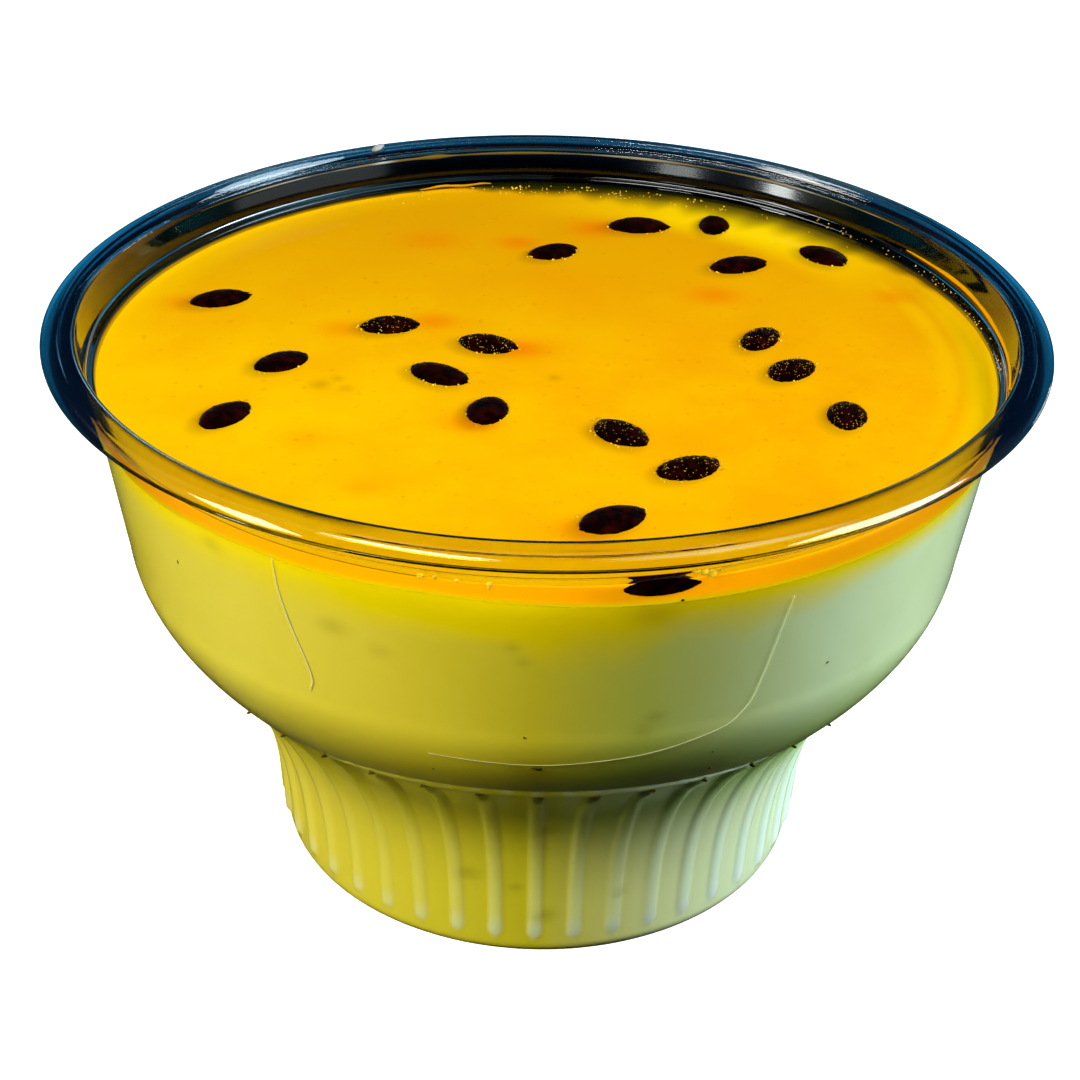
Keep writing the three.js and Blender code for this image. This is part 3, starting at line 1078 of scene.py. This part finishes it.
def speck_piece(material):
    """Dark specks in the mousse, and a dark mark of painted shade in the small hollow over each rib."""
    line = inside_line(SKIN, *FINE_STEPS)
    bodies = []
    for turn, z, across, up in SPECKS:
        bodies.append(wall_bead(turn, radius_at(line, z), z, across, up, SPECK_DEPTH))
    # Painted shade: a dark mark in the hollow over each rib
    for turn in np.arange(RIB_COUNT) * 360 / RIB_COUNT:
        bodies.append(wall_bead(turn, MARK_RADIUS, MARK_Z, MARK_HALF_WIDTH, MARK_HALF_HEIGHT, MARK_DEPTH))
    return mesh_piece("mousse_specks", *gathered(bodies), material)


def eased(values, steps):
    """Values in finer steps, with their corners rounded off."""
    fine = np.interp(np.linspace(0, len(values) - 1, steps), np.arange(len(values)), values)
    return np.convolve(np.pad(fine, 4, mode="edge"), np.ones(9) / 9, mode="valid")


def reflection_body(knots, thin):
    """A pale thread on the bowl through the given angles and heights, for a painted reflection."""
    turns, heights = np.array(knots).T
    z = eased(heights, 90)
    azimuth = np.radians(eased(turns, 90))
    spine = turned(radius_at(inside_line(0, *FINE_STEPS), z), z, azimuth)
    around = (np.pi / 4 + azimuths(4))[None, :, None]
    out = turned(1, 0 * z, azimuth)
    along = np.gradient(spine, axis=0)
    along /= np.linalg.norm(along, axis=1)[:, None]
    aside = np.cross(along, out)[:, None, :]
    taper = np.sin(np.pi * np.linspace(0.03, 0.97, len(spine))) ** 0.4
    raised = 0.02 * np.cos(around) * out[:, None, :]
    half_width = (thin * taper)[:, None, None]
    return capped(spine[:, None, :] + raised + half_width * np.sin(around) * aside)


def rim_smear_and_highlight(material):
    """The smear along the rim's inner edge, partly gel and partly a painted highlight, and the mould's
    mark beside it.
    """
    share = np.linspace(0, 1, 240)
    turn = SMEAR_FROM_DEG + (SMEAR_TO_DEG - SMEAR_FROM_DEG) * share
    thick = SMEAR_HALF_HEIGHT * tapered(share) * (1 + 0.3 * np.sin(share * 37))
    thick = thick + 0.18 * hump(turn, SMEAR_DROP_DEG, 2)
    around = azimuths(8)[:, None]
    azimuth = np.radians(turn)
    inward, down = inner_shift(signed_degrees(azimuth))
    radius = SMEAR_RADIUS - inward - thick * np.cos(around)
    z = SMEAR_Z - down + thick * np.sin(around)
    smear_and_highlight = capped(turned(radius, z, azimuth).transpose(1, 0, 2))
    mark = wall_bead(RIM_MARK_DEG, RIM_MARK_RADIUS, RIM_MARK_Z, *RIM_MARK_HALF_SIZES)
    vertices, faces = gathered([smear_and_highlight, mark])
    piece = mesh_piece("rim_smear_and_highlight", vertices, faces, material)
    degrees = np.degrees(np.arctan2(vertices[:, 0], -vertices[:, 1])) % 360
    # Painted highlights along the smear and on the mark
    painted_highlight = [strength * hump(degrees, angle, spread) for angle, spread, strength in PAINTED_HIGHLIGHT_SPOTS]
    paint(piece, "painted_highlight", most(*painted_highlight))
    return piece


def reflection_piece(material):
    """The fine pale lines on the front of the bowl, painted reflections of a bright edge."""
    bodies = [reflection_body(*line) for line in zip(WALL_REFLECTIONS, REFLECTION_HALF_WIDTHS)]
    return mesh_piece("painted_wall_reflections", *gathered(bodies), material)


def back_froth(rng):
    """Fine froth along the gel's edge at the back."""
    for _ in range(FROTH_COUNT):
        turn = rng.normal(178, 17)
        size = rng.uniform(0.04, 0.12)
        reach = 44 - abs(rng.normal(0, 1.3))
        z = GEL_TOP_Z + 0.22 * smooth(43.2, 44.2, reach)
        yield bead(on_ring(turn, reach, z), size)


def step_drops(rng):
    """Fine drops of gel on the step at the right."""
    for _ in range(STEP_DROP_COUNT):
        turn = rng.uniform(84, 138)
        size = rng.uniform(0.03, 0.09)
        reach = 44.35 + rng.uniform(-0.35, 0.25)
        z = STEP_Z + rng.uniform(-0.5, 0.1)
        yield bead(on_ring(turn, reach, z), size)


def by_seed(seed, angle, out, z):
    """A point at an angle about a seed, a share of the way out to its edge."""
    x, y, turn, length, width = seed
    flat = np.array([out * math.cos(angle) * length / 2, out * math.sin(angle) * width / 2, z])
    return turned_points(flat, turn) + np.array([x, y, 0])


def seed_bubbles(rng):
    """Bubbles in the gel round each seed."""
    for seed in SEEDS:
        for _ in range(rng.integers(8, 26)):
            angle = rng.uniform(0, 2 * math.pi)
            out = rng.uniform(0.9, 1.18)
            size = rng.uniform(0.05, 0.13)
            yield bead(by_seed(seed, angle, out, GEL_TOP_Z + 0.02), size)


def seed_drops(rng):
    """Fine drops of gel on some of the seeds."""
    for index in SPECKLED_SEEDS:
        for _ in range(SEED_DROP_COUNT):
            angle = rng.uniform(0, 2 * math.pi)
            out = 0.97 * rng.uniform(0, 1) ** 0.35
            size = rng.uniform(0.02, 0.048)
            lower = SEED_THICKNESS / 2 * (1 - math.sqrt(1 - out ** 2))
            z = GEL_TOP_Z + SEED_PROUD + 0.04 - lower
            yield bead(by_seed(SEEDS[index], angle, out, z), size)


def bubble_piece(material):
    """Bubbles, froth and drops at the gel's edge and at the seeds."""
    rng = np.random.default_rng(11)
    line = inside_line(GEL_SKIN, *GEL_STEPS)
    bodies = []
    for turn, z, size in WALL_BUBBLES:
        bodies.append(wall_bead(turn, radius_at(line, z), z, size, size, WALL_BUBBLE_DEPTH))
    for scattered in (back_froth, step_drops, seed_bubbles, seed_drops):
        bodies += scattered(rng)
    return mesh_piece("gel_bubbles", *gathered(bodies), material)


def sunk_seed(rng):
    """A seed that lies flat against the wall."""
    line = inside_line(SKIN, *GEL_STEPS)
    reach = radius_at(line, SUNK_SEED_Z)
    points = turned_points(seed_rings(SUNK_SEED_LENGTH, SUNK_SEED_WIDTH, rng), SUNK_SEED_DEG)
    points = points + on_ring(SUNK_SEED_DEG, reach, SUNK_SEED_Z)
    radius = np.hypot(points[..., 0], points[..., 1])
    limit = radius_at(line, points[..., 2]) + 0.1
    points[..., :2] *= np.minimum(1, limit / radius)[..., None]
    return points


def seeds_piece(material):
    rng = np.random.default_rng(7)
    z = GEL_TOP_Z + SEED_PROUD - SEED_THICKNESS / 2
    bodies = []
    for x, y, turn, length, width in SEEDS:
        rings = seed_rings(length * SEED_SPREAD, width * SEED_SPREAD, rng)
        bodies.append(capped(turned_points(rings, turn) + np.array([x, y, z])))
    bodies.append(capped(sunk_seed(rng)))
    return mesh_piece("seeds", *gathered(bodies), material)


# Stage

def floor_material():
    shader = new_look("floor")
    return shader.show({
        "Base Color": shader.mix(shader.noise(3), (0.9, 0.9, 0.9), (0.92, 0.92, 0.92)),
        "Roughness": 0.8,
        "Specular IOR Level": 0.1,
        "Emission Color": (1, 1, 1),
        "Emission Strength": 0.9,
    })


def floor_piece(material):
    signs = [(-1, -1), (1, -1), (1, 1), (-1, 1)]
    corners = [(x * FLOOR_REACH, y * FLOOR_REACH, FLOOR_Z) for x, y in signs]
    floor = mesh_piece("floor", corners, [[0, 1, 2, 3]], material)
    hidden(floor).visible_diffuse = False


def lamp(name, place, aim, size, power, colour):
    data = bpy.data.lights.new(name, "AREA")
    data.shape = "RECTANGLE"
    data.size, data.size_y = size
    data.energy = power
    data.color = colour
    made = bpy.data.objects.new(name, data)
    made.location = place
    made.rotation_euler = (Vector(aim) - Vector(place)).to_track_quat("-Z", "Y").to_euler()
    bpy.context.scene.collection.objects.link(made)
    return made


def shine_on(light, *pieces):
    """Keeps a lamp's light to the given pieces."""
    lit = bpy.data.collections.new(light.name + "_lit")
    for piece in pieces:
        lit.objects.link(piece)
    light.light_linking.receiver_collection = lit


def hidden(thing):
    """Keeps a lamp or the floor out of what the cup reflects and lets through."""
    thing.visible_glossy = False
    thing.visible_transmission = False
    return thing


def studio_lights(cup, mousse, gel, bubbles):
    hidden(lamp("key_left", (-0.397, -0.31, 0.377), LAMP_AIM, (0.3, 0.3), 4.7, (1, 0.93, 0.62)))
    hidden(lamp("fill_right", (0.546, 0.048, 0.294), LAMP_AIM, (0.3, 0.3), 6.7, (0.81, 0.87, 1)))
    for name, place, size, power, colour in HIGHLIGHTS:
        shine_on(lamp(name, place, RIM_AIM, size, power, colour), cup)
    # Stands for light that spreads through the gel to its side
    through = lamp("through_gel", (0.05, -0.6, 0.09), GEL_AIM, (0.4, 0.1), 2.7, (1, 0.95, 0.8))
    shine_on(hidden(through), gel, bubbles)
    # Low behind the cup, so that it lights the back of the food and not its top
    back = lamp("fill_back", (-0.12, 0.58, 0.05), LAMP_AIM, (0.36, 0.06), 1.6, (1, 0.95, 0.8))
    shine_on(hidden(back), mousse, gel)


def surroundings():
    """Pale to the camera, and a dark blue room in what the cup reflects and lets through."""
    world = bpy.data.worlds.new("surroundings")
    bpy.context.scene.world = world
    world.cycles_visibility.diffuse = False
    shader = Shader(world, "OutputWorld")
    x, y, z = shader.place("Generated")
    colour = shader.ramp(shader.span(z, -1, 1, kind="LINEAR"), [
        (0, (0.06, 0.06, 0.03)), (0.12, (0.06, 0.06, 0.03)), (0.22, (0.004, 0.003, 0.001)),
        (0.28, (0.0005, 0.004, 0.016)), (0.315, (0.0005, 0.003, 0.01)), (0.35, (0.002, 0.05, 0.11)),
        (0.5, (0.004, 0.09, 0.19)), (0.66, (0.004, 0.08, 0.17)), (0.685, (0.002, 0.02, 0.04)),
        (0.72, (0.001, 0.004, 0.008)), (1, (0.002, 0.004, 0.006)),
    ])
    behind = shader.span(y, -0.2, 0.5, kind="LINEAR")
    aside = shader.span(shader.math("ABSOLUTE", x, 0), 0.24, 0.4, 1, 2.4, kind="LINEAR")
    strength = shader.product(behind, aside)
    room = shader.add("Background", {"Color": colour, "Strength": strength}).outputs[0]
    pale = shader.add("Background", {"Color": (1, 1, 1)}).outputs[0]
    seen = shader.add("LightPath").outputs["Is Camera Ray"]
    shader.show({0: seen, 1: room, 2: pale}, "MixShader")


def photo_camera():
    back = Vector((0, -math.cos(CAMERA_ELEVATION), math.sin(CAMERA_ELEVATION)))
    side = Vector((1, 0, 0))
    ahead = CAMERA_PAN * side + CAMERA_TILT * side.cross(-back) - back
    level = ahead.to_track_quat("-Z", "Y").to_matrix()
    axes = level @ Matrix.Rotation(CAMERA_ROLL, 3, "Z")
    eye = (Vector((0, 0, RIM_EDGE_Z)) + back * CAMERA_DISTANCE) * MM
    data = bpy.data.cameras.new("camera")
    data.sensor_width = SENSOR_MM
    data.lens = FOCAL_PX / IMAGE_PX * SENSOR_MM
    data.clip_start = 0.01
    camera = bpy.data.objects.new("camera", data)
    camera.matrix_world = Matrix.Translation(eye) @ axes.to_4x4()
    bpy.context.scene.collection.objects.link(camera)
    bpy.context.scene.camera = camera


def carry(piece, node):
    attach(piece, BODY)
    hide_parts(node)


bpy.context.scene.view_settings.view_transform = "Standard"
photo_camera()
surroundings()
floor_piece(floor_material())

gel_look = gel_material()
gel = gel_piece(gel_look)
plastic = clear_plastic()
cup = cup_piece(plastic)
bubbles = bubble_piece(bubble_material())
mousse = mousse_piece(mousse_material())
studio_lights(cup, mousse, gel, bubbles)
carry(cup, "cup")
carry(mousse, "mousse")
carry(gel, "passion_gel")
carry(seeds_piece(seed_material()), "passion_gel")
carry(film_piece(gel_look), "passion_gel")
carry(bubbles, "passion_gel")
carry(speck_piece(speck_material()), "mousse")
carry(reflection_piece(reflection_material()), "cup")
carry(rim_smear_and_highlight(smear_and_highlight_material()), "cup")
